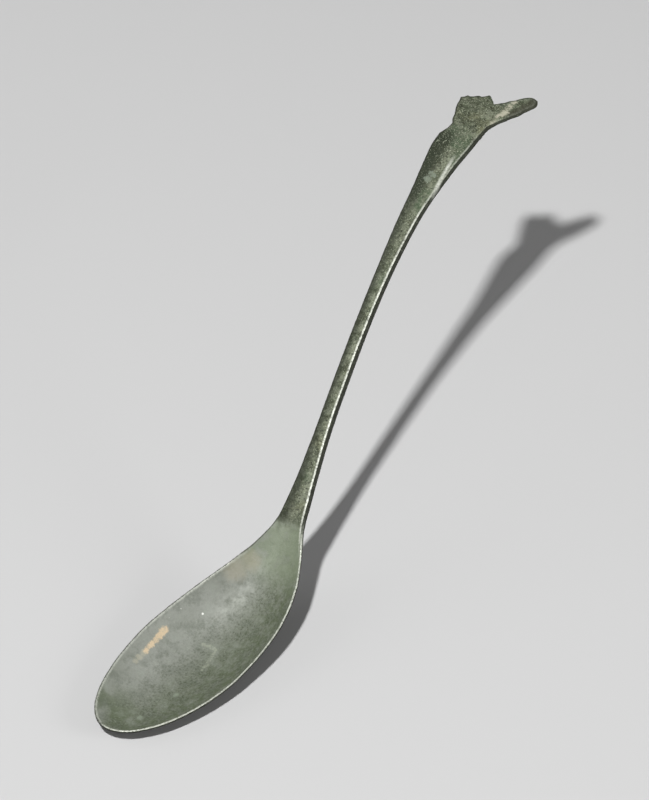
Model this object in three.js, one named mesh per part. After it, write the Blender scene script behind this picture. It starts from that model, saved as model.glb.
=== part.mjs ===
// A cast bronze spoon with an ovate bowl, a flat-topped arched handle and a broken, flared terminal.
// Millimetres, +Z up, +X from the bowl's tip towards the terminal, +Y to the spoon's left.
// The origin is on the surface under the bowl, at the middle of the spoon's length and width.
import * as THREE from 'three';

// Driving dimensions. A station is [distance along the axis from the bowl's tip, value].

// Rise of the axis above level, in degrees.
const SLOPE = [
  [0, 1], [24, 5], [44, 13], [58, 21], [70, 32], [84, 35],
  [104, 31], [128, 28], [152, 23], [176, 11], [200, -4], [212, -7],
];
// Turn of the axis to the left, in degrees: the handle was bent aside from the bowl in use.
const HEADING = [[0, -16], [22, -12], [44, -12], [66, 2], [88, 8], [110, 8], [150, 5], [200, 0], [212, 0]];
// Half of the width behind the bowl's widest place.
const HALF_WIDTH = [
  [31, 15], [38, 14.6], [48, 13], [58, 9.8], [66, 6.3], [72, 4], [80, 3],
  [92, 2.2], [115, 1.9], [145, 2.2], [160, 2.8],
];
// Depth of the hollow below the rim.
const HOLLOW = [[0, 0], [5, 1.7], [14, 3.4], [24, 4.5], [34, 5.6], [44, 6], [54, 5], [62, 3.1], [70, 1.2], [78, 0]];
// Metal under the middle of the top face, and the height of its side face.
const THICKNESS = [[0, 0.9], [44, 1], [60, 1.2], [70, 2.2], [80, 2.9], [150, 2.6], [175, 1.7], [200, 1.4]];
const SIDE_FACE = [[0, 0.7], [56, 0.8], [72, 1.3], [100, 1.2], [160, 1.1], [200, 1]];
// How full the underside is: 1 is a shallow curve as in the bowl, 0.5 is a half round.
const UNDERSIDE_POWER = [[0, 1], [56, 0.95], [76, 0.55], [90, 0.5]];

const WIDEST = 31;
const WIDEST_HALF_WIDTH = 15;
const NOSE_POWER = 1.8;
const HOLLOW_POWER = 2.2;

// Where one piece ends and the next begins, along the axis.
const TIP_START = 0.05;
const BOWL_END = 70;
const NECK_END = 86;
const STEM_END = 160;

// The rest facet ground under the bowl by wear.
const FACET_DEPTH = 0.45;

// The terminal plate, row by row: [left distance, left offset, right distance, right offset].
const PLATE_ROWS = [
  [160, 2.8, 160, -2.8],
  [165, 3, 166, -3.4],
  [170, 3.4, 172, -3.9],
  [175.5, 3.9, 178, -4.3],
  [180, 5.1, 182, -4.7],
  [184.5, 6.4, 185, -4.8],
  [186.3, 7.6, 187.5, -4.8],
  [187.4, 5.8, 188.5, -4.8],
  [188.4, 4.3, 190, -4.8],
  [192.3, 5.2, 193, -4.7],
  [196, 6.8, 196.5, -3.3],
  [199.6, 7.5, 200, -1.9],
];
// The broken end of the plate, from its left corner to the prong: [distance, offset].
const PLATE_END = [[200.6, 7.6], [202.2, 5.4], [203.2, 2.6], [204.5, 1.2], [202, -1.1]];

// The prong that is left of the terminal's right arm: [right distance, right offset, left distance, left offset].
const PRONG_ROWS = [
  [193, -4.7, 202, -1.1],
  [196.2, -5.9, 203, -2.6],
  [199.1, -7.2, 204.5, -4.1],
  [202, -8.5, 206.4, -5.2],
  [204.7, -9.4, 208.7, -6.8],
  [207.4, -10.3, 210.2, -8.5],
  [209.3, -10.3, 210.3, -9.6],
];
const PRONG_GAP = 0.05;

const AXIS_STEP = 0.25;
const ACROSS = 13;
const RADIANS = Math.PI / 180;

// A smooth curve through the stations: cubic pieces whose tangents come from the neighbours.
function through(stations, at) {
  const last = stations.length - 1;
  const x = Math.min(Math.max(at, stations[0][0]), stations[last][0]);
  let i = 0;
  while (i < last - 1 && x > stations[i + 1][0]) {
    i += 1;
  }
  const rate = (k) => (stations[k + 1][1] - stations[k][1]) / (stations[k + 1][0] - stations[k][0]);
  const tangent = (k) => {
    if (k === 0) return rate(0);
    if (k === last) return rate(last - 1);
    const before = stations[k][0] - stations[k - 1][0];
    const after = stations[k + 1][0] - stations[k][0];
    return (rate(k - 1) * after + rate(k) * before) / (before + after);
  };
  const span = stations[i + 1][0] - stations[i][0];
  const t = (x - stations[i][0]) / span;
  const start = (1 + 2 * t) * (1 - t) ** 2 * stations[i][1] + t * (1 - t) ** 2 * span * tangent(i);
  const end = t * t * (3 - 2 * t) * stations[i + 1][1] + t * t * (t - 1) * span * tangent(i + 1);
  return start + end;
}

// The unit vector along the axis at a distance from the tip.
function direction(at) {
  const slope = through(SLOPE, at) * RADIANS;
  const heading = through(HEADING, at) * RADIANS;
  return new THREE.Vector3(
    Math.cos(slope) * Math.cos(heading),
    Math.cos(slope) * Math.sin(heading),
    Math.sin(slope),
  );
}

// The axis as a row of points, each a step further along the directions above.
function walkAxis(length) {
  const points = [new THREE.Vector3()];
  for (let at = 0; at < length; at += AXIS_STEP) {
    const step = direction(at + AXIS_STEP / 2).multiplyScalar(AXIS_STEP);
    points.push(points[points.length - 1].clone().add(step));
  }
  return points;
}
const AXIS = walkAxis(214);

// A point given by its distance along the axis, its offset to the left and its height over the top face.
function place(at, left, up) {
  const i = Math.min(Math.floor(at / AXIS_STEP), AXIS.length - 2);
  const point = AXIS[i].clone().lerp(AXIS[i + 1], at / AXIS_STEP - i);
  const heading = through(HEADING, at) * RADIANS;
  const sideways = new THREE.Vector3(-Math.sin(heading), Math.cos(heading), 0);
  const upward = new THREE.Vector3().crossVectors(direction(at), sideways);
  return point.addScaledVector(sideways, left).addScaledVector(upward, up);
}

// Half of the spoon's width: a blunt oval nose as far as the widest place, then the stations.
function halfWidth(at) {
  if (at >= WIDEST) return through(HALF_WIDTH, at);
  return WIDEST_HALF_WIDTH * Math.sqrt(1 - (1 - at / WIDEST) ** NOSE_POWER);
}

// One cross section from right to left: the top face's points and the underside's points below them.
// pointAt gives the distance and the offset for a place across, from -1 at the right to 1 at the left.
function section(pointAt) {
  const top = [];
  const under = [];
  for (let k = 0; k < ACROSS; k += 1) {
    const across = -Math.cos((Math.PI * k) / (ACROSS - 1));
    const [at, left] = pointAt(across);
    const hollow = through(HOLLOW, at) * (1 - Math.abs(across) ** HOLLOW_POWER);
    const side = through(SIDE_FACE, at);
    const belly = through(HOLLOW, at) + through(THICKNESS, at) - side;
    const round = Math.max(0, 1 - Math.abs(across) ** HOLLOW_POWER) ** through(UNDERSIDE_POWER, at);
    top.push(place(at, left, -hollow));
    under.push(place(at, left, -side - belly * round));
  }
  return { top, under };
}

// Sections square to the axis between two places.
function sweptSections(places) {
  return places.map((at) => section((across) => [at, across * halfWidth(at)]));
}

// Evenly spaced places from start to end.
function spaced(start, end, count) {
  return Array.from({ length: count + 1 }, (_, i) => start + ((end - start) * i) / count);
}

// A section along the straight line between a right point and a left point.
function rowSection([rightAt, rightOffset, leftAt, leftOffset]) {
  return section((across) => {
    const t = (across + 1) / 2;
    return [rightAt + (leftAt - rightAt) * t, rightOffset + (leftOffset - rightOffset) * t];
  });
}

// A section along a broken line of points, from right to left, evenly by point number.
function brokenSection(points) {
  return section((across) => {
    const reach = ((across + 1) / 2) * (points.length - 1);
    const i = Math.min(Math.floor(reach), points.length - 2);
    const t = reach - i;
    return [0, 1].map((n) => points[i][n] + (points[i + 1][n] - points[i][n]) * t);
  });
}

// A closed solid through a row of sections: top, underside, both side faces and both ends.
function solidThrough(sections) {
  const positions = [];
  for (const { top, under } of sections) {
    for (const point of [...top, ...under]) {
      positions.push(point.x, point.y, point.z);
    }
  }
  const ring = 2 * ACROSS;
  const faces = [];
  const quad = (a, b, c, d) => faces.push(a, b, c, a, c, d);
  for (let i = 0; i < sections.length - 1; i += 1) {
    const here = i * ring;
    const next = here + ring;
    for (let k = 0; k < ACROSS - 1; k += 1) {
      quad(here + k, next + k, next + k + 1, here + k + 1);
      quad(here + ACROSS + k, here + ACROSS + k + 1, next + ACROSS + k + 1, next + ACROSS + k);
    }
    quad(here, here + ACROSS, next + ACROSS, next);
    quad(here + ACROSS - 1, next + ACROSS - 1, next + ring - 1, here + ring - 1);
  }
  const end = (sections.length - 1) * ring;
  for (let k = 0; k < ACROSS - 1; k += 1) {
    quad(k, k + 1, ACROSS + k + 1, ACROSS + k);
    quad(end + k, end + ACROSS + k, end + ACROSS + k + 1, end + k + 1);
  }
  const geometry = new THREE.BufferGeometry();
  geometry.setAttribute('position', new THREE.Float32BufferAttribute(positions, 3));
  geometry.setIndex(faces);
  return geometry;
}

// The bowl's places crowd towards the tip, where the outline turns fastest.
function bowlPlaces() {
  const nose = spaced(0, 1, 9).map((t) => TIP_START + (WIDEST - TIP_START) * (1 - Math.cos((t * Math.PI) / 2)));
  return [...nose, ...spaced(WIDEST, BOWL_END, 11).slice(1)];
}

// The broken plate: its rows, then its broken end, both listed from right to left for the section.
function plateSections() {
  const rows = PLATE_ROWS.map(([leftAt, left, rightAt, right]) => rowSection([rightAt, right, leftAt, left]));
  return [...rows, brokenSection([...PLATE_END].reverse())];
}

// The prong's sections run away from the plate, whose edge they clear by a hair.
function prongSections() {
  const [rightAt, right, leftAt, left] = PRONG_ROWS[0];
  const along = new THREE.Vector2(leftAt - rightAt, left - right).normalize();
  const clear = [along.y * PRONG_GAP, -along.x * PRONG_GAP];
  const root = [rightAt + clear[0], right + clear[1], leftAt + clear[0], left + clear[1]];
  return [root, ...PRONG_ROWS.slice(1)].map(rowSection);
}

const bronze = { roughness: 0.55, metalness: 0.6 };
const olive = new THREE.MeshStandardMaterial({ color: 0x6b7262, ...bronze });
const greyGreen = new THREE.MeshStandardMaterial({ color: 0x76806f, ...bronze });

const pieces = [
  ['bowl', solidThrough(sweptSections(bowlPlaces())), greyGreen],
  ['neck', solidThrough(sweptSections(spaced(BOWL_END, NECK_END, 5))), olive],
  ['stem', solidThrough(sweptSections(spaced(NECK_END, STEM_END, 13))), olive],
  ['terminal_plate', solidThrough(plateSections()), olive],
  ['terminal_prong', solidThrough(prongSections()), olive],
];

// The whole spoon is moved so that its rest facet lies at z = 0, and the facet is cut flat.
const bounds = new THREE.Box3();
for (const [, geometry] of pieces) {
  geometry.computeBoundingBox();
  bounds.union(geometry.boundingBox);
}
const middle = bounds.getCenter(new THREE.Vector3());
const lift = -(bounds.min.z + FACET_DEPTH);

const spoon = new THREE.Group();
for (const [name, geometry, material] of pieces) {
  geometry.translate(-middle.x, -middle.y, lift);
  const points = geometry.getAttribute('position');
  for (let i = 0; i < points.count; i += 1) {
    points.setZ(i, Math.max(points.getZ(i), 0));
  }
  const mesh = new THREE.Mesh(geometry, material);
  mesh.name = name;
  spoon.add(mesh);
}

export default spoon;
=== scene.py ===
"""A corroded bronze spoon on a pale floor: its skin, its patina, the stage and the camera."""

import bpy
import numpy as np
from mathutils import Matrix, Vector


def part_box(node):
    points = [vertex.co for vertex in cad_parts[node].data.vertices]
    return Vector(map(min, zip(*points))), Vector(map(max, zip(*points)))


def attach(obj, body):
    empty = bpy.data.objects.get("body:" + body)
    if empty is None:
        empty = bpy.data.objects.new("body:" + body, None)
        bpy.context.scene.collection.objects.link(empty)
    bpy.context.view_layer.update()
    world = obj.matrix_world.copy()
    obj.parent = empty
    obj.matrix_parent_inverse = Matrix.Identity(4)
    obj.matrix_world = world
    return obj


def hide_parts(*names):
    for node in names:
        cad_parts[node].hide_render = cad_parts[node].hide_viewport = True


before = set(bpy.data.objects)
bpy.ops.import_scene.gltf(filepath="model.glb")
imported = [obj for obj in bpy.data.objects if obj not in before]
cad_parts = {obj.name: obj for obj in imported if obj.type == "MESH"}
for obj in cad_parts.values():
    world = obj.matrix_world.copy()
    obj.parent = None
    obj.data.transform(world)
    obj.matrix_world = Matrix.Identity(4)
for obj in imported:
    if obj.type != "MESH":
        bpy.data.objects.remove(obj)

bl_info = {
    "name": "Bronze spoon",
    "version": (1, 0, 0),
    "blender": (4, 5, 0),
    "location": "View3D > Sidebar > Spoon",
    "description": "Builds an ancient bronze spoon with its patina, floor, lights and camera",
    "category": "Object",
}

MM = 0.001

# The axis, in degrees above level and to the left, and the sections, in mm. A station is
# (distance along the axis from the bowl's tip, value).
SLOPE = ((0, 1), (24, 5), (44, 13), (58, 21), (70, 32), (84, 35),
         (104, 31), (128, 28), (152, 23), (176, 11), (200, -4), (212, -7))
HEADING = ((0, -16), (22, -12), (44, -12), (66, 2), (88, 8), (110, 8), (150, 5), (200, 0), (212, 0))
HALF_WIDTH = ((31, 15), (38, 14.6), (48, 13), (58, 9.8), (66, 6.3), (72, 4), (80, 3),
              (92, 2.2), (115, 1.9), (145, 2.2), (160, 2.8))
HOLLOW = ((0, 0), (5, 1.7), (14, 3.4), (24, 4.5), (34, 5.6), (44, 6), (54, 5), (62, 3.1), (70, 1.2), (78, 0))
THICKNESS = ((0, 0.9), (44, 1), (60, 1.2), (70, 2.2), (80, 2.9), (150, 2.6), (175, 1.7), (200, 1.4))
SIDE_FACE = ((0, 0.7), (56, 0.8), (72, 1.3), (100, 1.2), (160, 1.1), (200, 1))
SIDE_FACE_SHARE = 0.92
UNDERSIDE_POWER = ((0, 1), (56, 0.95), (76, 0.55), (90, 0.5))

# How far the top face's edges fall away to their corners, and the width of that slope, left and right.
BEVEL = ((0, 0.1), (60, 0.12), (72, 0.5), (90, 0.75), (160, 0.75), (182, 0.6), (190, 0.6),
         (200, 0.75), (212, 0.75))
LEFT_BEVEL_DROP = 0.4
LEFT_BEVEL_WIDTH = ((0, 0.3), (160, 0.3), (212, 0.4))
RIGHT_BEVEL_WIDTH = ((0, 0.3), (60, 0.3), (72, 0.5), (90, 0.6), (160, 0.6), (178, 0.7), (190, 0.6),
                     (199, 1.5), (212, 2.0))
WIDEST_BEVEL_SHARE, BEVEL_POWER = 0.6, 1.3

# The bowl's nose and lip. A fade is the length over which something comes in or goes out.
WIDEST, WIDEST_HALF_WIDTH, NOSE_POWER, HOLLOW_POWER = 31, 15, 1.8, 2.2
TIP_START, TIP_FADE, LEAST_HALF_WIDTH = 0.02, 3, 0.05
LIP, LIP_END, LIP_FADE, WIDEST_LIP_SHARE = 0.45, 64, 8, 0.3
FACET_DEPTH = 0.45

# Where the pieces start, how finely the axis is cut, and the rows for each unit of density.
NECK_START, STEM_START, STEM_END = 70, 86, 160
AXIS_LENGTH, AXIS_STEP = 214, 0.25
NOSE_ROWS, PLATE_ROWS, END_ROWS, ROWS_PER_MM = 18, 12, 9, 0.4
OFFSET_COLUMNS, OFFSET_DENSITY = 41, 10
OUTLINE_STEPS = 3

# The terminal's edges in (distance, offset to the left), and its broken end from left to right.
LEFT_EDGE = ((160, 2.8), (165, 3.06), (168.8, 3.45), (173, 4.05), (177, 4.65), (180.5, 5.2), (183.1, 5.4),
             (185.5, 5.4), (187.2, 4.8), (188.5, 4.4), (190.2, 4.5))
RIGHT_EDGE = ((160, -2.8), (165, -3.25), (168.8, -3.6), (173, -3.95), (177, -4.25), (180.5, -4.55),
              (183.1, -4.75), (185.5, -4.8), (187.2, -4.8), (188.5, -4.8), (190.2, -4.8))
LEFT_CORNER = ((190.2, 4.5), (192.3, 5.3), (194.7, 6.2), (196.2, 6.9), (197.7, 7.3), (199.3, 7.6),
               (200.5, 7.9))
PRONG_EDGE = ((190.2, -4.8), (193, -4.8), (196.2, -5.9), (199.1, -7.2), (202, -8.5), (204.7, -9.4),
              (207.4, -10.3), (209.0, -10.4))
BROKEN_END = ((200.5, 7.9), (200.8, 7.1), (201.9, 6.6), (201.7, 6.0), (202.2, 5.2), (203.4, 4.0),
              (203.2, 3.3), (204.1, 2.4), (205.0, 1.8), (204.6, 1.1), (203.9, 0.5), (203.0, -0.5),
              (202.1, -1.1), (203.0, -2.0), (204.3, -3.2), (205.7, -4.0), (206.6, -4.9), (208.0, -5.7),
              (209.2, -6.6), (210.0, -7.5), (210.3, -8.6), (210.1, -9.8), (209.0, -10.4))

# Unevenness of the surface, in mm: the size of each random field's grain, and its height.
LATTICE = 32
DENT_SIZE, DENT_HEIGHT = 9.0, 0.08
RIPPLE_SIZE, RIPPLE_HEIGHT = 3.1, 0.03
PIT_SIZE, PIT_THRESHOLD, PIT_DEPTH = 1.1, 0.35, 0.10
CRUST_SIZE, CRUST_HEIGHT = 0.6, 0.014
# Strength of pits and crust in the bowl, and what the handle and the broken end add to it.
BOWL_ROUGH, HANDLE_ROUGH, BROKEN_ROUGH = 0.4, 0.6, 0.9
HANDLE_FADE, BROKEN_START, BROKEN_FADE = 20, 182, 8
# Nicks in the edges: grain, seed, depth, and what the broken end adds to the depth.
NICKS = ((1.7, 3, 0.035, 0.06), (0.7, 4, 0.025, 0.13))
EDGE_POWER, EDGE_CALM = 14, 0.6
TOP_SEED, UNDER_SEED = 10, 20

# The camera in the axis's own frame, mm: its centre and its right, up and back directions.
CAMERA_CENTRE = (-470.26, -392.08, 704.96)
CAMERA_RIGHT = (0.53352, -0.84499, -0.0366)
CAMERA_UP = (0.60651, 0.35207, 0.71288)
CAMERA_BACK = (-0.58949, -0.40253, 0.70033)
IMAGE_HEIGHT, FOCAL_PIXELS, SENSOR_HEIGHT = 800, 3800, 24.0
NEAREST, FARTHEST = 0.01, 50

# Lamps, in metres: the place of each, its side, and the point that it is aimed at.
KEY_PLACE, KEY_TARGET = (-0.57, 0.023, 1.41), (0, 0, 0.02)
FILL_PLACE, FILL_SIZE, FILL_TARGET = (-0.5, 1.1, 0.7), 0.9, (0, 0, 0.02)
SIDE_PLACE, SIDE_SIZE, SIDE_TARGET = (0.20, -0.92, 0.36), 0.35, (0, 0, 0.03)
PAPER_ROUGHNESS = 0.9


def through(stations, at):
    """Smooth curve through stations: cubic pieces whose tangents come from the neighbours."""
    x, y = np.array(stations, float).T
    span = np.diff(x)
    rate = np.diff(y) / span
    inner = (rate[:-1] * span[1:] + rate[1:] * span[:-1]) / (span[:-1] + span[1:])
    tangent = np.concatenate([rate[:1], inner, rate[-1:]])
    at = np.clip(at, x[0], x[-1])
    k = np.clip(np.searchsorted(x, at, side="right") - 1, 0, len(span) - 1)
    t = (at - x[k]) / span[k]
    start = (1 + 2 * t) * (1 - t) ** 2 * y[k] + t * (1 - t) ** 2 * span[k] * tangent[k]
    return start + t * t * (3 - 2 * t) * y[k + 1] + t * t * (t - 1) * span[k] * tangent[k + 1]


def direction(at):
    """Unit vector along the axis: slope above level and heading to the left, as angles."""
    slope, heading = np.radians(through(SLOPE, at)), np.radians(through(HEADING, at))
    return np.stack([np.cos(slope) * np.cos(heading), np.cos(slope) * np.sin(heading), np.sin(slope)], -1)


def place(at, left, up):
    """Point at a distance along the axis, moved to the left and up square to the axis, in mm.

    The axis is the running sum of short steps, each in the direction at its middle.
    """
    steps = np.arange(0, AXIS_LENGTH, AXIS_STEP)
    axis = np.concatenate([np.zeros((1, 3)), np.cumsum(direction(steps + AXIS_STEP / 2) * AXIS_STEP, axis=0)])
    grid = np.arange(len(axis)) * AXIS_STEP
    centre = np.stack([np.interp(at, grid, axis[:, i]) for i in range(3)], -1)
    heading = np.radians(through(HEADING, at))
    sideways = np.stack([-np.sin(heading), np.cos(heading), 0 * heading], -1)
    upward = np.cross(direction(at), sideways)
    return centre + sideways * left[..., None] + upward * up[..., None]


def grain(points, size, seed):
    """Smooth random field from -1 to 1: a lattice of random values, blended between its corners."""
    lattice = np.random.default_rng(seed).random((LATTICE, LATTICE, LATTICE)) * 2 - 1
    cell = points / size
    base = np.floor(cell).astype(int)
    t = cell - base
    t = t * t * (3 - 2 * t)
    total = np.zeros(points.shape[:-1])
    for corner in np.ndindex(2, 2, 2):
        weight = np.prod(np.where(np.array(corner) == 1, t, 1 - t), axis=-1)
        i = (base + corner) % LATTICE
        total += weight * lattice[i[..., 0], i[..., 1], i[..., 2]]
    return total


def along_line(points, share):
    """Point on a broken line at a share of its length."""
    points = np.array(points, float)
    reach = np.concatenate([[0], np.cumsum(np.hypot(*np.diff(points, axis=0).T))])
    return np.stack([np.interp(share * reach[-1], reach, points[:, i]) for i in range(2)], -1)


def by_row(points, share):
    """Point on a broken line at a share of its number of points, so that two edges keep in step."""
    points = np.array(points, float)
    row = share * (len(points) - 1)
    return np.stack([np.interp(row, np.arange(len(points)), points[:, i]) for i in range(2)], -1)


def outline_grid(across, density):
    """Distance and offset of each grid point, and the row at which each piece starts.

    The bowl's half width is a blunt oval as far as the widest place and then a smooth curve. The plate
    is ruled between its left and right edges. The end is a blend of four edges: the last row, the
    left corner, the prong's edge and the broken end.
    """
    turn = np.linspace(0, np.pi / 2, int(NOSE_ROWS * density))
    at = TIP_START + (WIDEST - TIP_START) * (1 - np.cos(turn))
    starts = [0]
    for low, high in zip((WIDEST, NECK_START, STEM_START), (NECK_START, STEM_START, STEM_END)):
        at = np.concatenate([at, np.linspace(low, high, int((high - low) * density * ROWS_PER_MM))[1:]])
        starts.append(len(at) - 1)
    oval = WIDEST_HALF_WIDTH * np.sqrt(1 - np.clip(1 - at / WIDEST, 0, 1) ** NOSE_POWER)
    half = np.where(at < WIDEST, oval, through(HALF_WIDTH, at))
    swept = np.stack(np.broadcast_arrays(at[:, None], across[None] * half[:, None]), -1)

    t = (across[None, :, None] + 1) / 2
    share = np.linspace(0, 1, PLATE_ROWS * int(density))[1:]
    left, right = by_row(LEFT_EDGE, share)[:, None], by_row(RIGHT_EDGE, share)[:, None]
    plate = right * (1 - t) + left * t

    share = np.linspace(0, 1, END_ROWS * int(density))[1:]
    left, right = along_line(LEFT_CORNER, share)[:, None], along_line(PRONG_EDGE, share)[:, None]
    s = share[:, None, None]
    root = plate[-1][None]
    end = along_line(BROKEN_END, (1 - across) / 2)[None]
    sides = right * (1 - t) + left * t
    ends = root * (1 - s) + end * s
    corners = ((root[:, :1] * (1 - t) + root[:, -1:] * t) * (1 - s)
               + (end[:, :1] * (1 - t) + end[:, -1:] * t) * s)
    return np.concatenate([swept, plate, sides + ends - corners]), starts


def to_edge(middle):
    """Distance in mm from each grid point to the outline, which is cut into short steps."""
    outline = np.concatenate([middle[:, 0], middle[-1, 1:], middle[::-1, -1]])
    steps = np.linspace(0, len(outline) - 1, OUTLINE_STEPS * len(outline))
    outline = np.stack([np.interp(steps, np.arange(len(outline)), outline[:, i]) for i in range(3)], -1)
    square = (outline ** 2).sum(-1)
    gaps = [((row ** 2).sum(-1)[:, None] + square - 2 * row @ outline.T).min(-1) for row in middle]
    return np.sqrt(np.clip(gaps, 0, None))


def spoon_points(density, columns):
    """Top and underside of the spoon, in mm, with how far along, across and from the edge each point is.

    The top sinks by the hollow times one minus the place across to a power, inside a narrow level lip,
    and its edges fall off in a small bevel, which is wider on the right. The underside hangs under the
    side faces by the hollow and the wall's thickness, times one minus the place across to the same
    power. That is raised to a second power, which is one in the bowl and makes a half round under the
    stem. Small random fields roughen both, and nick the edges.
    """
    across = -np.cos(np.linspace(0, np.pi, columns))
    grid, starts = outline_grid(across, density)
    at, left = grid[..., 0], grid[..., 1]
    spread = np.abs(across)[None]
    half = np.maximum((left[:, -1] - left[:, 0]) / 2, LEAST_HALF_WIDTH)[:, None]
    lip = np.minimum(LIP * np.clip((LIP_END - at) / LIP_FADE, 0, 1), WIDEST_LIP_SHARE * half)
    inner = np.minimum(spread * half / (half - lip), 1)
    hollow = through(HOLLOW, at)
    is_left = across[None] > 0
    width = np.where(is_left, through(LEFT_BEVEL_WIDTH, at), through(RIGHT_BEVEL_WIDTH, at))
    width = np.minimum(width, half * WIDEST_BEVEL_SHARE)
    slope = np.clip(1 - half * (1 - spread) / width, 0, 1) ** BEVEL_POWER
    bevel = through(BEVEL, at) * np.where(is_left, LEFT_BEVEL_DROP, 1) * slope * np.clip(at / TIP_FADE, 0, 1)
    side = through(SIDE_FACE, at)
    belly = hollow + through(THICKNESS, at) - side
    bulge = np.clip(1 - spread ** HOLLOW_POWER, 0, 1) ** through(UNDERSIDE_POWER, at)
    top = place(at, left, -hollow * (1 - inner ** HOLLOW_POWER) - bevel)
    under = place(at, left, -side * SIDE_FACE_SHARE - belly * bulge)

    middle = place(at, left, 0 * at)
    broken = np.clip((at - BROKEN_START) / BROKEN_FADE, 0, 1)
    nick = sum(grain(middle, size, seed) * (depth + more * broken) for size, seed, depth, more in NICKS)
    edge = spread ** EDGE_POWER
    drift = place(at, left + np.sign(across)[None] * edge * nick, 0 * at) - middle
    handle = np.clip((at - NECK_START) / HANDLE_FADE, 0, 1)
    rough = BOWL_ROUGH + HANDLE_ROUGH * handle + BROKEN_ROUGH * broken
    for surface, seed, sign in ((top, TOP_SEED, 1), (under, UNDER_SEED, -1)):
        dents = (grain(surface, DENT_SIZE, seed) * DENT_HEIGHT
                 + grain(surface, RIPPLE_SIZE, seed + 1) * RIPPLE_HEIGHT)
        pits = -np.clip(grain(surface, PIT_SIZE, seed + 2) - PIT_THRESHOLD, 0, 1) * PIT_DEPTH
        crust = grain(surface, CRUST_SIZE, seed + 3) * CRUST_HEIGHT
        surface += drift
        surface[..., 2] += (dents + (pits + crust) * rough) * sign * (1 - EDGE_CALM * edge)
    return top, under, at, np.broadcast_to(across[None], at.shape), to_edge(middle), starts


def shell_faces(rows, columns):
    """Quads over the top, the underside, the two side faces and the two ends of a ruled shell."""
    index = np.arange(rows * columns).reshape(rows, columns)
    low = index + rows * columns

    def strip(a, b, c, d):
        return np.stack([a, b, c, d], -1).reshape(-1, 4)

    return np.concatenate([
        strip(index[:-1, :-1], index[1:, :-1], index[1:, 1:], index[:-1, 1:]),
        strip(low[:-1, :-1], low[:-1, 1:], low[1:, 1:], low[1:, :-1]),
        strip(index[:-1, 0], low[:-1, 0], low[1:, 0], index[1:, 0]),
        strip(index[:-1, -1], index[1:, -1], low[1:, -1], low[:-1, -1]),
        strip(index[0, :-1], index[0, 1:], low[0, 1:], low[0, :-1]),
        strip(index[-1, :-1], low[-1, :-1], low[-1, 1:], index[-1, 1:]),
    ])


def axis_offset():
    """Move in mm from the axis's frame to the spoon's.

    The smooth rim's tip and sides go onto the bowl's own box, and the keel's lowest point goes below
    the floor by the depth of the worn facet.
    """
    across = -np.cos(np.linspace(0, np.pi, OFFSET_COLUMNS))
    grid, starts = outline_grid(across, OFFSET_DENSITY)
    bowl = grid[:starts[1] + 1]
    smooth = place(bowl[..., 0], bowl[..., 1], 0 * bowl[..., 0])
    box = np.array(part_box("bowl")) / MM
    low, high = smooth.min((0, 1)), smooth.max((0, 1))
    forward, sideways = box[0][0] - low[0], (box[0][1] + box[1][1] - low[1] - high[1]) / 2
    at = bowl[:, 0, 0]
    keel = place(at, 0 * at, -through(HOLLOW, at) - through(THICKNESS, at))
    return np.array([forward, sideways, -(keel[:, 2].min() + FACET_DEPTH)])


def new_mesh_object(name, points, faces):
    """Mesh object at the origin from points in metres and quads."""
    mesh = bpy.data.meshes.new(name)
    mesh.vertices.add(len(points))
    mesh.vertices.foreach_set("co", points.astype(np.float32).ravel())
    mesh.loops.add(faces.size)
    mesh.loops.foreach_set("vertex_index", faces.astype(np.int32).ravel())
    mesh.polygons.add(len(faces))
    mesh.polygons.foreach_set("loop_start", np.arange(0, faces.size, 4, dtype=np.int32))
    mesh.update(calc_edges=True)
    mesh.validate()
    mesh.polygons.foreach_set("use_smooth", np.ones(len(mesh.polygons), dtype=bool))
    piece = bpy.data.objects.new(name, mesh)
    bpy.context.scene.collection.objects.link(piece)
    return piece


def vertex_value(piece, name, values):
    """Store one number per vertex for the material to read."""
    layer = piece.data.attributes.new(name, "FLOAT", "POINT")
    layer.data.foreach_set("value", values.astype(np.float32).ravel())


def sharpen_ends(piece, rows, columns):
    """Mark the border of both end faces sharp, so that neighbouring pieces shade as one surface."""
    mesh = piece.data
    ends = np.zeros(len(mesh.edges) * 2, dtype=np.int32)
    mesh.edges.foreach_get("vertices", ends)
    row = (ends.reshape(-1, 2) % (rows * columns)) // columns
    sharp = ((row == 0) | (row == rows - 1)).all(-1) & (row[:, 0] == row[:, 1])
    layer = mesh.attributes.new("sharp_edge", "BOOLEAN", "EDGE")
    layer.data.foreach_set("value", sharp)


def colour(values):
    """Colour with full opacity from three linear numbers."""
    return (*values, 1.0)


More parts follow.
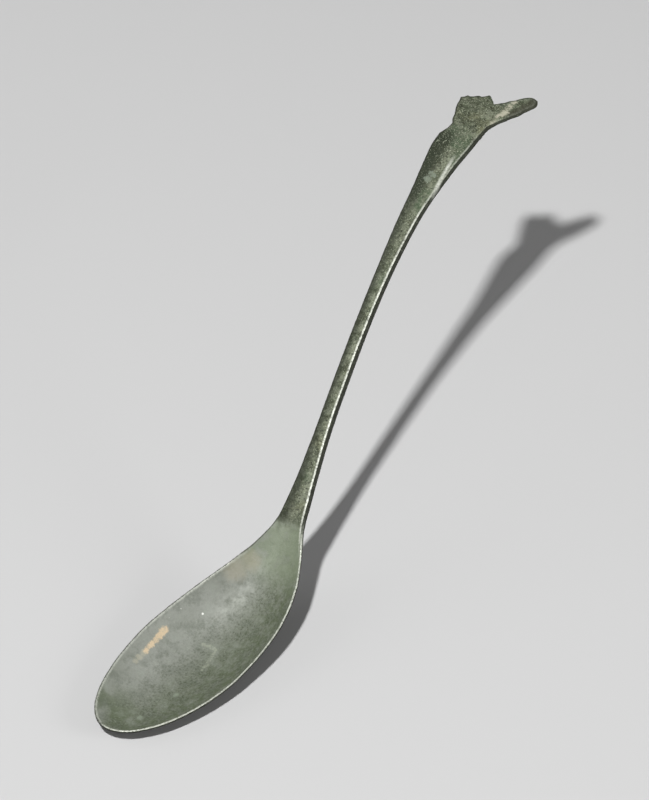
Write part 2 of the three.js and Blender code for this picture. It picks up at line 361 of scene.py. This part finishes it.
class SpoonFinish(bpy.types.PropertyGroup):
    """Main colours of the corroded bronze and the roughness of its skin."""

    bowl_green: bpy.props.FloatVectorProperty(
        name="Bowl green", description="Grey-green of the bowl's skin", subtype="COLOR",
        default=(0.215, 0.230, 0.190), min=0, max=1)
    # Bluish grey patina of the far side, made lighter there as a painted sheen.
    bowl_blue_and_sheen: bpy.props.FloatVectorProperty(
        name="Bowl blue-grey", description="Smooth bluish grey of the bowl's far side", subtype="COLOR",
        default=(0.300, 0.312, 0.280), min=0, max=1)
    bowl_olive: bpy.props.FloatVectorProperty(
        name="Bowl olive", description="Granular olive of the bowl's near side and tip", subtype="COLOR",
        default=(0.120, 0.145, 0.088), min=0, max=1)
    handle_olive: bpy.props.FloatVectorProperty(
        name="Handle olive", description="Olive of the handle", subtype="COLOR",
        default=(0.100, 0.116, 0.072), min=0, max=1)
    # Near black crust, also used as painted shade on the right bevel, the left edge, the side faces and the
    # underside.
    dark_crust_and_shade: bpy.props.FloatVectorProperty(
        name="Dark crust", description="Near black of crust, bevels and side faces", subtype="COLOR",
        default=(0.022, 0.025, 0.016), min=0, max=1)
    pale_grain: bpy.props.FloatVectorProperty(
        name="Pale grains", description="Pale corrosion grains of the handle", subtype="COLOR",
        default=(0.40, 0.43, 0.32), min=0, max=1)
    # Worn metal colour, also used to paint the highlights on the stem's right bevel, the rim and the flare.
    worn_edge_and_highlight: bpy.props.FloatVectorProperty(
        name="Worn edge", description="Bright worn metal along the rim and the edges", subtype="COLOR",
        default=(0.66, 0.68, 0.60), min=0, max=1)
    # Bare copper of the worn patch, also painting the glint on the bowl's far wall.
    copper_and_glint: bpy.props.FloatVectorProperty(
        name="Copper patch", description="Bare copper where the skin has worn off", subtype="COLOR",
        default=(0.66, 0.52, 0.34), min=0, max=1)
    roughness: bpy.props.FloatProperty(
        name="Roughness", description="Roughness of the smooth skin", subtype="FACTOR",
        default=0.54, min=0, max=1)


class SpoonMesh(bpy.types.PropertyGroup):
    """How finely the spoon's skin is divided."""

    density: bpy.props.IntProperty(
        name="Density", description="Rows of points for each 2.5 mm of the handle", default=8, min=3, max=10)
    columns: bpy.props.IntProperty(
        name="Columns", description="Points across the spoon", default=91, min=21, max=121)


class SpoonStage(bpy.types.PropertyGroup):
    """The floor, the lights and the world."""

    floor_colour: bpy.props.FloatVectorProperty(
        name="Floor", description="Pale floor", subtype="COLOR", default=(0.60, 0.60, 0.60), min=0, max=1)
    floor_size: bpy.props.FloatProperty(
        name="Floor size", description="Side of the floor", subtype="DISTANCE", unit="LENGTH",
        default=6.0, min=1.0)
    key_power: bpy.props.FloatProperty(
        name="Key light", description="Power of the lamp that casts the shadow, in watts",
        default=21.5, min=0.0)
    key_size: bpy.props.FloatProperty(
        name="Key size", description="Side of the lamp that casts the shadow", subtype="DISTANCE",
        unit="LENGTH", default=0.09, min=0.01)
    fill_power: bpy.props.FloatProperty(
        name="Fill light", description="Power of the wide lamp on the left, in watts", default=2.2, min=0.0)
    side_power: bpy.props.FloatProperty(
        name="Side light", description="Power of the low lamp on the right that lights the edges, in watts",
        default=3.0, min=0.0)
    world_strength: bpy.props.FloatProperty(
        name="World light", description="Strength of the even light from all sides", default=0.09, min=0.0)


# Marks on the skin: distance along, offset to the left, depth under the rim, radius, in mm.
# The worn copper patch, painted bright, also stands in for the glint on the bowl's far wall.
COPPER_AND_GLINT_MARKS = tuple((24.6 + 0.6 * i, 10.7 + 0.08 * i, 2.2, 0.05 + 0.04 * i) for i in range(13))
STREAK_MARKS = ((23.5, 10.6, 2.1, 0.2), (22.0, 10.4, 2.0, 0.15), (20.4, 10.2, 1.9, 0.1))
WHITE_MARKS = ((41.8, 8.7, 4.0, 0.16), (38.6, 12.7, 1.5, 0.12), (34.8, 13.0, 1.4, 0.13))
VEIN_MARKS = ((36.0, 3.1, 5.6, 0.1), (36.3, 2.5, 5.6, 0.1), (36.5, 1.9, 5.7, 0.1), (36.7, 1.3, 5.7, 0.1),
              (36.8, 0.7, 5.8, 0.15), (36.9, 0.1, 5.8, 0.2), (36.8, -0.4, 5.8, 0.2), (36.3, -0.8, 5.8, 0.15),
              (35.6, -1.1, 5.8, 0.1), (34.9, -1.3, 5.7, 0.1), (34.3, -1.6, 5.6, 0.1), (33.6, -1.9, 5.5, 0.2),
              (32.9, -2.2, 5.5, 0.3), (32.2, -2.4, 5.4, 0.2), (31.4, -2.5, 5.3, 0.1), (30.6, -2.7, 5.1, 0.1))
BLUSH_MARKS = ((56.5, 8.5, 1.5, 1.0), (60.2, 6.4, 2.0, 0.6))
PALE_MARKS = ((9.1, -3.7, 2.3, 0.2), (171.8, 0.2, 0.1, 0.5), (170.4, 0.6, 0.1, 0.4), (20.5, -4.0, 3.7, 0.1))
# Painted highlight along the prong's crease, and painted shade on the prong's face beyond it.
CREASE_HIGHLIGHT_MARKS = ((198.4, -4.6, 0, 0.1), (199.2, -4.9, 0, 0.2), (200.1, -5.2, 0, 0.3), (201.1, -5.3, 0, 0.35),
                (202.1, -5.3, 0, 0.35), (203.1, -5.2, 0, 0.3), (204.1, -5.1, 0, 0.25), (205.1, -5.1, 0, 0.2),
                (206.0, -5.2, 0, 0.15), (196.6, -5.2, 0.1, 0.3), (195.2, -4.7, 0.1, 0.3))
SHADED_MARKS = ((201.5, -7.4, 0.2, 0.5), (203.6, -8.3, 0.2, 0.7), (205.6, -8.9, 0.2, 0.8),
                (207.6, -9.4, 0.2, 0.8), (209.0, -9.2, 0.2, 0.6))
MARK_CORE = 0.3

# Tints beside the ones in SpoonFinish, as linear red, green and blue.
BOWL_SHADE = (0.125, 0.142, 0.112)
BOWL_CLOUD = (0.30, 0.33, 0.28)
BOWL_GRAINS = (0.070, 0.085, 0.048)
BOWL_DUST = (0.34, 0.37, 0.30)
NECK_GREEN = (0.235, 0.275, 0.190)
HANDLE_CLOUD = (0.190, 0.208, 0.145)
HANDLE_YELLOW = (0.195, 0.190, 0.095)
HANDLE_SHADE = (0.050, 0.056, 0.030)
HANDLE_DUST = (0.30, 0.33, 0.22)
HANDLE_GREEN = (0.075, 0.115, 0.062)
HANDLE_FLECKS = (0.38, 0.42, 0.30)
# Painted shade on the handle's left side and the left third of the flare, facets that turn from the light.
LEFT_SIDE_PAINTED_SHADE = (0.030, 0.036, 0.020)
FLARE_PAINTED_SHADE = (0.026, 0.034, 0.018)
SEAM_DARK = (0.055, 0.062, 0.035)
# Painted shade of the prong's lower face.
SHADED_TINT = (0.050, 0.050, 0.032)
# Painted highlight of the prong's crease.
CREASE_HIGHLIGHT_TINT = (0.56, 0.54, 0.42)
BLUSH_TINT = (0.44, 0.40, 0.29)
STREAK_TINT = (0.50, 0.47, 0.36)
WHITE_TINT = (0.85, 0.86, 0.80)
VEIN_TINT = (0.44, 0.47, 0.37)
PALE_TINT = (0.36, 0.42, 0.33)

# How far the border of bowl and handle wanders, and the seam's strength.
BORDER_WANDER, SEAM_STRENGTH = 9.0, 0.3
# The polished band on the flare, worn metal with a painted highlight: its middle's distance to the edge at
# one station, and its drift per mm.
POLISHED_HIGHLIGHT_AT, POLISHED_HIGHLIGHT_GAP, POLISHED_HIGHLIGHT_DRIFT = 168.5, 0.75, 0.125
# Strength of the painted shade along the left edge.
LEFT_EDGE_SHADE_STRENGTH = 0.9
# Shader: share of metal, gloss, what the handle adds to the roughness and worn metal takes off, and bump.
METAL_SHARE, GLOSS = 0.12, 0.4
HANDLE_DULL, WORN_SHINE = 0.14, 0.32
FINE_BUMP, PIT_BUMP = 0.7, -0.9
BUMP_STRENGTH, BUMP_HEIGHT = 0.5, 0.00012


class Nodes:
    """Short calls for the nodes of one material."""

    def __init__(self, material):
        material.use_nodes = True
        self.tree = material.node_tree
        self.tree.nodes.clear()

    def add(self, kind, settings=None, **inputs):
        """New node with its settings and inputs. An input i0 is the socket of that number."""
        node = self.tree.nodes.new(kind)
        for key, value in (settings or {}).items():
            setattr(node, key, value)
        for key, value in inputs.items():
            self.put(node, key.replace("_", " "), value)
        return node

    def put(self, node, key, value):
        """Link a socket or set a value on a node's input."""
        socket = node.inputs[int(key[1:])] if key[0] == "i" and key[1:].isdigit() else node.inputs[key]
        if isinstance(value, bpy.types.NodeSocket):
            self.tree.links.new(value, socket)
        else:
            socket.default_value = value

    def band(self, value, low, high, bottom=0.0, top=1.0):
        """Bottom before low, top after high, and smooth between. Low may be the larger."""
        node = self.add("ShaderNodeMapRange", {"interpolation_type": "SMOOTHSTEP"}, Value=value)
        self.put(node, "From Min", low)
        self.put(node, "From Max", high)
        self.put(node, "To Min", bottom)
        self.put(node, "To Max", top)
        return node.outputs["Result"]

    def math(self, operation, a, b=0.0):
        return self.add("ShaderNodeMath", {"operation": operation}, i0=a, i1=b).outputs[0]

    def times(self, product, *factors):
        """Product of all the values, from the left."""
        for factor in factors:
            product = self.math("MULTIPLY", product, factor)
        return product

    def mix(self, share, a, b):
        node = self.add("ShaderNodeMix", {"data_type": "RGBA"})
        self.put(node, "i0", share)
        self.put(node, "i6", a)
        self.put(node, "i7", b)
        return node.outputs[2]


class Patina(Nodes):
    """Nodes of the bronze, with the places and the noise fields that its patterns share."""

    def __init__(self, material, offset):
        super().__init__(material)
        self.offset = offset
        self.where = self.add("ShaderNodeTexCoord").outputs["Object"]
        self.along, self.across = self.attribute("along"), self.attribute("across")
        self.gap, self.topside = self.attribute("gap"), self.attribute("topside")
        self.cloud = self.noise(scale=70, detail=4, roughness=0.55)
        self.patch = self.noise(scale=260, detail=5, roughness=0.6)
        self.mid = self.noise(scale=620, detail=4, roughness=0.62)
        self.fine = self.noise(scale=1700, detail=4, roughness=0.7)
        self.grit = self.noise(scale=3000, detail=2, roughness=0.6)
        wander = self.times(self.math("SUBTRACT", self.patch, 0.5), BORDER_WANDER)
        self.ragged = self.math("ADD", self.along, wander)
        self.right = self.band(self.across, 0.2, -0.2)

    def attribute(self, name):
        return self.add("ShaderNodeAttribute", {"attribute_name": name}).outputs["Fac"]

    def noise(self, scale, detail, roughness):
        node = self.add("ShaderNodeTexNoise", Vector=self.where, Scale=scale, Detail=detail,
                        Roughness=roughness)
        return node.outputs["Fac"]

    def near(self, mark, blur):
        """One inside a mark's ball, falling to nothing over the blur."""
        at, left, sink, radius = mark
        point = place(np.array([float(at)]), np.array([float(left)]), np.array([-float(sink)]))[0]
        centre = tuple((point + self.offset) * MM)
        away = self.add("ShaderNodeVectorMath", {"operation": "DISTANCE"}, i0=self.where, i1=centre)
        return self.band(away.outputs["Value"], radius * MM + blur * MM, radius * MM)

    def paint(self, skin, tint, strength, marks, blur, torn, low, high):
        """The skin with a tint over it on the marks, whose borders the grain makes ragged."""
        share = 0.0
        for mark in marks:
            share = self.math("MAXIMUM", share, self.near(mark, blur))
        ragged = self.times(self.math("SUBTRACT", self.math("ADD", self.fine, self.mid), 1.0), torn)
        ragged = self.band(self.math("ADD", share, ragged), low, high)
        cover = self.times(ragged, self.band(share, 0.0, MARK_CORE), strength)
        return self.mix(cover, skin, colour(tint))


def bowl_colour(n, finish):
    """Green, blue-grey with a painted sheen on the far side, olive on the near side and at the tip, and
    leafier by the neck.
    """
    # Painted sheen: the far side of the bowl turns a lighter blue-grey, as where light falls on it.
    far = n.times(n.band(n.across, -0.2, 0.7), n.band(n.cloud, 0.3, 0.6, 0.5, 1.0))
    bowl = n.mix(far, colour(finish.bowl_green), colour(finish.bowl_blue_and_sheen))
    near = n.times(n.band(n.across, 0.35, -0.75), n.band(n.mid, 0.36, 0.6, 0.3, 1.0))
    tip = n.times(n.band(n.along, 20, 3), n.band(n.cloud, 0.42, 0.58, 0.2, 1.0))
    bowl = n.mix(n.math("MAXIMUM", near, tip), bowl, colour(finish.bowl_olive))
    bowl = n.mix(n.band(n.patch, 0.44, 0.66, 0.0, 0.42), bowl, colour(BOWL_SHADE))
    bowl = n.mix(n.band(n.patch, 0.46, 0.28, 0.0, 0.35), bowl, colour(BOWL_CLOUD))
    grainy = n.times(n.band(n.fine, 0.48, 0.62), n.band(n.across, 0.8, -0.3, 0.15, 0.75),
                     n.band(n.patch, 0.36, 0.58, 0.35, 1.0))
    bowl = n.mix(grainy, bowl, colour(BOWL_GRAINS))
    bowl = n.mix(n.band(n.fine, 0.44, 0.30, 0.0, 0.35), bowl, colour(BOWL_DUST))
    leafy = n.times(n.band(n.along, 54, 64), n.band(n.patch, 0.35, 0.55, 0.3, 0.75))
    return n.mix(leafy, bowl, colour(NECK_GREEN))


def handle_colour(n, finish):
    """Olive, clouded, crusted and flecked, with painted shade on the left side and the left of the flare."""
    stem = n.mix(n.band(n.patch, 0.40, 0.60), colour(finish.handle_olive), colour(HANDLE_CLOUD))
    stem = n.mix(n.band(n.cloud, 0.52, 0.66, 0.0, 0.5), stem, colour(HANDLE_YELLOW))
    stem = n.mix(n.band(n.mid, 0.50, 0.64, 0.0, 0.8), stem, colour(HANDLE_SHADE))
    stem = n.mix(n.band(n.fine, 0.53, 0.63, 0.0, 0.85), stem, colour(finish.dark_crust_and_shade))
    stem = n.mix(n.band(n.fine, 0.44, 0.34, 0.0, 0.6), stem, colour(HANDLE_DUST))
    verdant = n.times(n.band(n.cloud, 0.48, 0.36), n.band(n.mid, 0.44, 0.54, 0.2, 0.7))
    stem = n.mix(verdant, stem, colour(HANDLE_GREEN))
    fleck = n.times(n.band(n.grit, 0.60, 0.67), n.band(n.across, 0.9, 0.2, 0.3, 0.8))
    stem = n.mix(fleck, stem, colour(HANDLE_FLECKS))
    # Painted shade on the left side of the handle.
    left_side_shade = n.times(n.band(n.across, -0.25, 0.7), n.band(n.fine, 0.32, 0.5, 0.6, 0.95),
                        n.band(n.along, 183, 189, 1.0, 0.2))
    stem = n.mix(left_side_shade, stem, colour(LEFT_SIDE_PAINTED_SHADE))
    # Painted shade on the left third of the flare.
    flare = n.times(n.band(n.along, 158, 168), n.band(n.along, 190, 184), n.band(n.across, -0.2, 0.4),
                    n.band(n.mid, 0.62, 0.42, 0.5, 0.92))
    return n.mix(flare, stem, colour(FLARE_PAINTED_SHADE))


def with_marks(n, finish, skin):
    """The skin with the seam at the neck, the specks of the terminal and each of the marks, among them a
    painted highlight along the prong's crease, painted shade on the prong beyond it, and the copper patch
    that also paints a glint.
    """
    seam = n.times(n.band(n.ragged, 75.2, 73.6), n.band(n.ragged, 71.6, 72.8), SEAM_STRENGTH)
    skin = n.mix(seam, skin, colour(SEAM_DARK))
    plate = n.times(n.band(n.along, 172, 182), n.band(n.mid, 0.56, 0.48, 0.35, 1.0))
    speck = n.times(n.band(n.grit, 0.58, 0.64), n.band(n.along, 120, 184, 0.2, 1.0),
                    n.math("MAXIMUM", plate, 0.3))
    skin = n.mix(speck, skin, colour(finish.pale_grain))
    # Painted shade on the prong's lower face.
    skin = n.paint(skin, SHADED_TINT, 0.8, SHADED_MARKS, blur=1.6, torn=1.0, low=0.1, high=0.9)
    # Painted highlight along the prong's crease.
    skin = n.paint(skin, CREASE_HIGHLIGHT_TINT, 0.85, CREASE_HIGHLIGHT_MARKS, blur=1.2, torn=3.2, low=0.35, high=1.25)
    skin = n.paint(skin, BLUSH_TINT, 0.4, BLUSH_MARKS, blur=4.2, torn=0.8, low=0.0, high=1.1)
    skin = n.paint(skin, STREAK_TINT, 0.45, STREAK_MARKS, blur=1.6, torn=1.5, low=0.3, high=1.1)
    # Worn copper patch, also a painted glint.
    skin = n.paint(skin, finish.copper_and_glint, 0.9, COPPER_AND_GLINT_MARKS, blur=1.5, torn=1.7, low=0.45, high=1.05)
    skin = n.paint(skin, WHITE_TINT, 1.0, WHITE_MARKS, blur=0.3, torn=0.2, low=0.35, high=0.8)
    skin = n.paint(skin, VEIN_TINT, 0.45, VEIN_MARKS, blur=0.95, torn=3.0, low=0.5, high=1.3)
    return n.paint(skin, PALE_TINT, 0.45, PALE_MARKS, blur=1.5, torn=2.5, low=0.4, high=1.1)


def worn_metal_and_highlights(n):
    """One on worn metal with painted highlights: the right bevel's upper edge, the bowl's rim and the
    polished band of the flare.
    """
    # Painted highlight, partly worn metal, along the right bevel's upper edge and along the rim.
    line = n.times(n.band(n.gap, 0.50, 0.60), n.band(n.gap, 1.20, 0.80), n.right, n.band(n.along, 64, 74),
                   n.band(n.along, 158, 168, 1.0, 0.45))
    near_rim = n.times(n.band(n.gap, 0.58, 0.30), n.band(n.along, 76, 64), n.band(n.across, 0.4, -0.2))
    line = n.math("MAXIMUM", line, near_rim)
    far_rim = n.times(n.band(n.gap, 0.85, 0.50), n.band(n.along, 66, 58),
                      n.band(n.across, 0.0, 0.5, 0.0, 0.5))
    line = n.math("MAXIMUM", line, far_rim)
    line = n.times(line, n.band(n.fine, 0.62, 0.46, 0.3, 1.0), n.band(n.along, 182, 190, 1.0, 0.2))
    drift = n.times(n.along, POLISHED_HIGHLIGHT_DRIFT)
    middle = n.math("ADD", drift, POLISHED_HIGHLIGHT_GAP - POLISHED_HIGHLIGHT_DRIFT * POLISHED_HIGHLIGHT_AT)
    aside = n.math("ABSOLUTE", n.math("SUBTRACT", n.gap, middle))
    # Painted highlight on the flare's right edge, as a polished band.
    polished_highlight = n.times(n.band(aside, 0.75, 0.1), n.times(n.band(n.along, 164, 170), n.right),
                       n.band(n.along, 181, 175), n.band(n.fine, 0.64, 0.40, 0.6, 1.0))
    return n.times(n.math("MAXIMUM", line, polished_highlight), n.band(n.topside, 0.97, 0.995))


def with_edges(n, finish, skin, line):
    """The skin with painted shade on the right bevel, the worn metal and its painted highlights, and painted
    shade along the left edge, on the side faces and on the underside.
    """
    crust = colour(finish.dark_crust_and_shade)
    # Painted shade: the right bevel darkens towards the side face that turns from the light.
    slope = n.times(n.band(n.gap, 0.62, 0.50), n.band(n.along, 64, 76), n.right,
                    n.band(n.along, 206, 199, 0.5, 1.0), n.band(n.fine, 0.42, 0.34, 0.92, 0.55))
    skin = n.mix(slope, skin, crust)
    # Worn metal and painted highlights.
    skin = n.mix(line, skin, colour(finish.worn_edge_and_highlight))
    edge_width = n.band(n.along, 70, 84, 0.36, 0.62)
    # Painted shade along the left edge of the bowl and the handle.
    left_edge_shade = n.times(n.band(n.math("DIVIDE", n.gap, edge_width), 1.0, 0.5), n.band(n.across, 0.0, 0.5),
                    n.band(n.fine, 0.40, 0.50, 0.5, 0.9), LEFT_EDGE_SHADE_STRENGTH)
    skin = n.mix(left_edge_shade, skin, crust)
    # Painted shade on the side faces and the whole underside.
    below = n.times(n.band(n.topside, 0.995, 0.96), n.band(n.fine, 0.44, 0.36, 0.94, 0.62))
    return n.mix(below, skin, crust)


def bronze_material(name, finish, offset):
    """Patina: the bowl's colour runs into the handle's, under marks, worn metal with painted highlights, and
    dark crust with painted shade.

    Pits and fine grain make the bump, the handle is duller than the bowl, and worn metal is glossier.
    """
    material = bpy.data.materials.new(name)
    n = Patina(material, offset)
    skin = n.mix(n.band(n.ragged, 70.5, 75.0), bowl_colour(n, finish), handle_colour(n, finish))
    line = worn_metal_and_highlights(n)
    skin = with_edges(n, finish, with_marks(n, finish, skin), line)

    rough = n.band(n.mid, 0.35, 0.7, finish.roughness - 0.05, finish.roughness + 0.15)
    rough = n.math("ADD", rough, n.band(n.along, 66, 76, 0.0, HANDLE_DULL))
    rough = n.math("SUBTRACT", rough, n.times(line, WORN_SHINE))
    pitted = n.times(n.band(n.mid, 0.46, 0.66), n.band(n.along, 40, 90, 0.35, 1.0))
    height = n.math("ADD", n.times(n.fine, FINE_BUMP), n.times(pitted, PIT_BUMP))
    bump = n.add("ShaderNodeBump", Strength=BUMP_STRENGTH, Distance=BUMP_HEIGHT, Height=height)
    shader = n.add("ShaderNodeBsdfPrincipled", Metallic=METAL_SHARE, Roughness=rough,
                   Normal=bump.outputs["Normal"])
    n.put(shader, "Base Color", skin)
    n.put(shader, "Specular IOR Level", GLOSS)
    n.put(n.add("ShaderNodeOutputMaterial"), "Surface", shader.outputs[0])
    return material


def build_piece(scene, number, name, slot, nodes):
    """One stretch of the skin, from its first row to the next piece's, as a closed shell.

    What would lie below the floor is raised to it, which makes the worn facet under the bowl.
    """
    top, under, at, across, gap, starts = spoon_points(scene.spoon_mesh.density, scene.spoon_mesh.columns)
    last = starts[number + 1] + 1 if number + 1 < len(starts) else len(at)
    rows = slice(starts[number], last)
    offset = axis_offset()
    points = np.concatenate([top[rows].reshape(-1, 3), under[rows].reshape(-1, 3)]) + offset
    points[:, 2] = np.maximum(points[:, 2], 0.0)
    piece = new_mesh_object(name, points * MM, shell_faces(*at[rows].shape))
    sharpen_ends(piece, *at[rows].shape)
    vertex_value(piece, "along", np.tile(at[rows].ravel(), 2))
    vertex_value(piece, "across", np.tile(across[rows].ravel(), 2))
    vertex_value(piece, "gap", np.tile(gap[rows].ravel(), 2))
    vertex_value(piece, "topside", np.repeat([1.0, 0.0], at[rows].size))
    coat = "patina_of_" + slot
    patina = bpy.data.materials.get(coat) or bronze_material(coat, scene.spoon_finish, offset)
    piece.data.materials.append(patina)
    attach(piece, "root")
    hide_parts(*nodes)


class SPOON_OT_bowl(bpy.types.Operator):
    """Build the bowl with its lip, hollow and underside"""

    bl_idname = "spoon.bowl"
    bl_label = "Bowl"

    def execute(self, context):
        build_piece(context.scene, 0, "bowl_skin", "bowl_bronze", ("bowl",))
        return {"FINISHED"}


class SPOON_OT_neck(bpy.types.Operator):
    """Build the neck between the bowl and the handle"""

    bl_idname = "spoon.neck"
    bl_label = "Neck"

    def execute(self, context):
        build_piece(context.scene, 1, "neck_skin", "handle_bronze", ("neck",))
        return {"FINISHED"}


class SPOON_OT_stem(bpy.types.Operator):
    """Build the arched handle with its flat top and bevelled edges"""

    bl_idname = "spoon.stem"
    bl_label = "Stem"

    def execute(self, context):
        build_piece(context.scene, 2, "stem_skin", "handle_bronze", ("stem",))
        return {"FINISHED"}


class SPOON_OT_terminal(bpy.types.Operator):
    """Build the flared terminal with its broken end and its prong"""

    bl_idname = "spoon.terminal"
    bl_label = "Terminal"

    def execute(self, context):
        build_piece(context.scene, 3, "terminal_skin", "handle_bronze", ("terminal_plate", "terminal_prong"))
        return {"FINISHED"}


def area_lamp(name, power, size, place_at, target):
    """Square soft lamp at a place, aimed at the target."""
    data = bpy.data.lights.new(name, "AREA")
    data.energy = power
    data.size = size
    lamp = bpy.data.objects.new(name, data)
    lamp.location = place_at
    lamp.rotation_euler = (Vector(target) - Vector(place_at)).to_track_quat("-Z", "Y").to_euler()
    bpy.context.scene.collection.objects.link(lamp)


class SPOON_OT_stage(bpy.types.Operator):
    """Lay the pale floor, hang the lamps and set the camera"""

    bl_idname = "spoon.stage"
    bl_label = "Stage"

    def execute(self, context):
        stage = context.scene.spoon_stage
        half = stage.floor_size / 2
        corners = np.array([[-half, -half, 0], [half, -half, 0], [half, half, 0], [-half, half, 0]])
        floor = new_mesh_object("floor", corners, np.array([[0, 1, 2, 3]]))
        paper = bpy.data.materials.new("pale_paper")
        n = Nodes(paper)
        shader = n.add("ShaderNodeBsdfPrincipled", Roughness=PAPER_ROUGHNESS)
        n.put(shader, "Base Color", colour(stage.floor_colour))
        n.put(n.add("ShaderNodeOutputMaterial"), "Surface", shader.outputs[0])
        floor.data.materials.append(paper)

        area_lamp("key", stage.key_power, stage.key_size, KEY_PLACE, KEY_TARGET)
        area_lamp("fill_left", stage.fill_power, FILL_SIZE, FILL_PLACE, FILL_TARGET)
        area_lamp("side_right", stage.side_power, SIDE_SIZE, SIDE_PLACE, SIDE_TARGET)
        world = bpy.data.worlds.new("studio")
        world.use_nodes = True
        background = world.node_tree.nodes["Background"]
        background.inputs["Color"].default_value = (1, 1, 1, 1)
        background.inputs["Strength"].default_value = stage.world_strength
        context.scene.world = world
        context.scene.view_settings.view_transform = "Standard"

        data = bpy.data.cameras.new("photo_camera")
        data.sensor_fit = "VERTICAL"
        data.sensor_height = SENSOR_HEIGHT
        data.lens = FOCAL_PIXELS * SENSOR_HEIGHT / IMAGE_HEIGHT
        data.clip_start = NEAREST
        data.clip_end = FARTHEST
        camera = bpy.data.objects.new("photo_camera", data)
        turn = Matrix((CAMERA_RIGHT, CAMERA_UP, CAMERA_BACK)).transposed()
        centre = (np.array(CAMERA_CENTRE) + axis_offset()) * MM
        camera.matrix_world = Matrix.Translation(Vector(centre)) @ turn.to_4x4()
        context.scene.collection.objects.link(camera)
        context.scene.camera = camera
        return {"FINISHED"}


class SPOON_PT_panel(bpy.types.Panel):
    """Sizes, colours and the building steps"""

    bl_label = "Bronze spoon"
    bl_idname = "SPOON_PT_panel"
    bl_space_type = "VIEW_3D"
    bl_region_type = "UI"
    bl_category = "Spoon"

    def draw(self, context):
        for group in (context.scene.spoon_mesh, context.scene.spoon_finish, context.scene.spoon_stage):
            box = self.layout.box()
            for name in group.__annotations__:
                box.prop(group, name)
        for step in ("spoon.bowl", "spoon.neck", "spoon.stem", "spoon.terminal", "spoon.stage"):
            self.layout.operator(step)


CLASSES = (SpoonFinish, SpoonMesh, SpoonStage, SPOON_OT_bowl, SPOON_OT_neck, SPOON_OT_stem,
           SPOON_OT_terminal, SPOON_OT_stage, SPOON_PT_panel)


def register():
    for cls in CLASSES:
        bpy.utils.register_class(cls)
    bpy.types.Scene.spoon_finish = bpy.props.PointerProperty(type=SpoonFinish)
    bpy.types.Scene.spoon_mesh = bpy.props.PointerProperty(type=SpoonMesh)
    bpy.types.Scene.spoon_stage = bpy.props.PointerProperty(type=SpoonStage)


def unregister():
    del bpy.types.Scene.spoon_stage
    del bpy.types.Scene.spoon_mesh
    del bpy.types.Scene.spoon_finish
    for cls in reversed(CLASSES):
        bpy.utils.unregister_class(cls)


def main():
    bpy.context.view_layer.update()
    register()
    bpy.ops.spoon.bowl()
    bpy.ops.spoon.neck()
    bpy.ops.spoon.stem()
    bpy.ops.spoon.terminal()
    bpy.ops.spoon.stage()


if __name__ == "__main__":
    main()
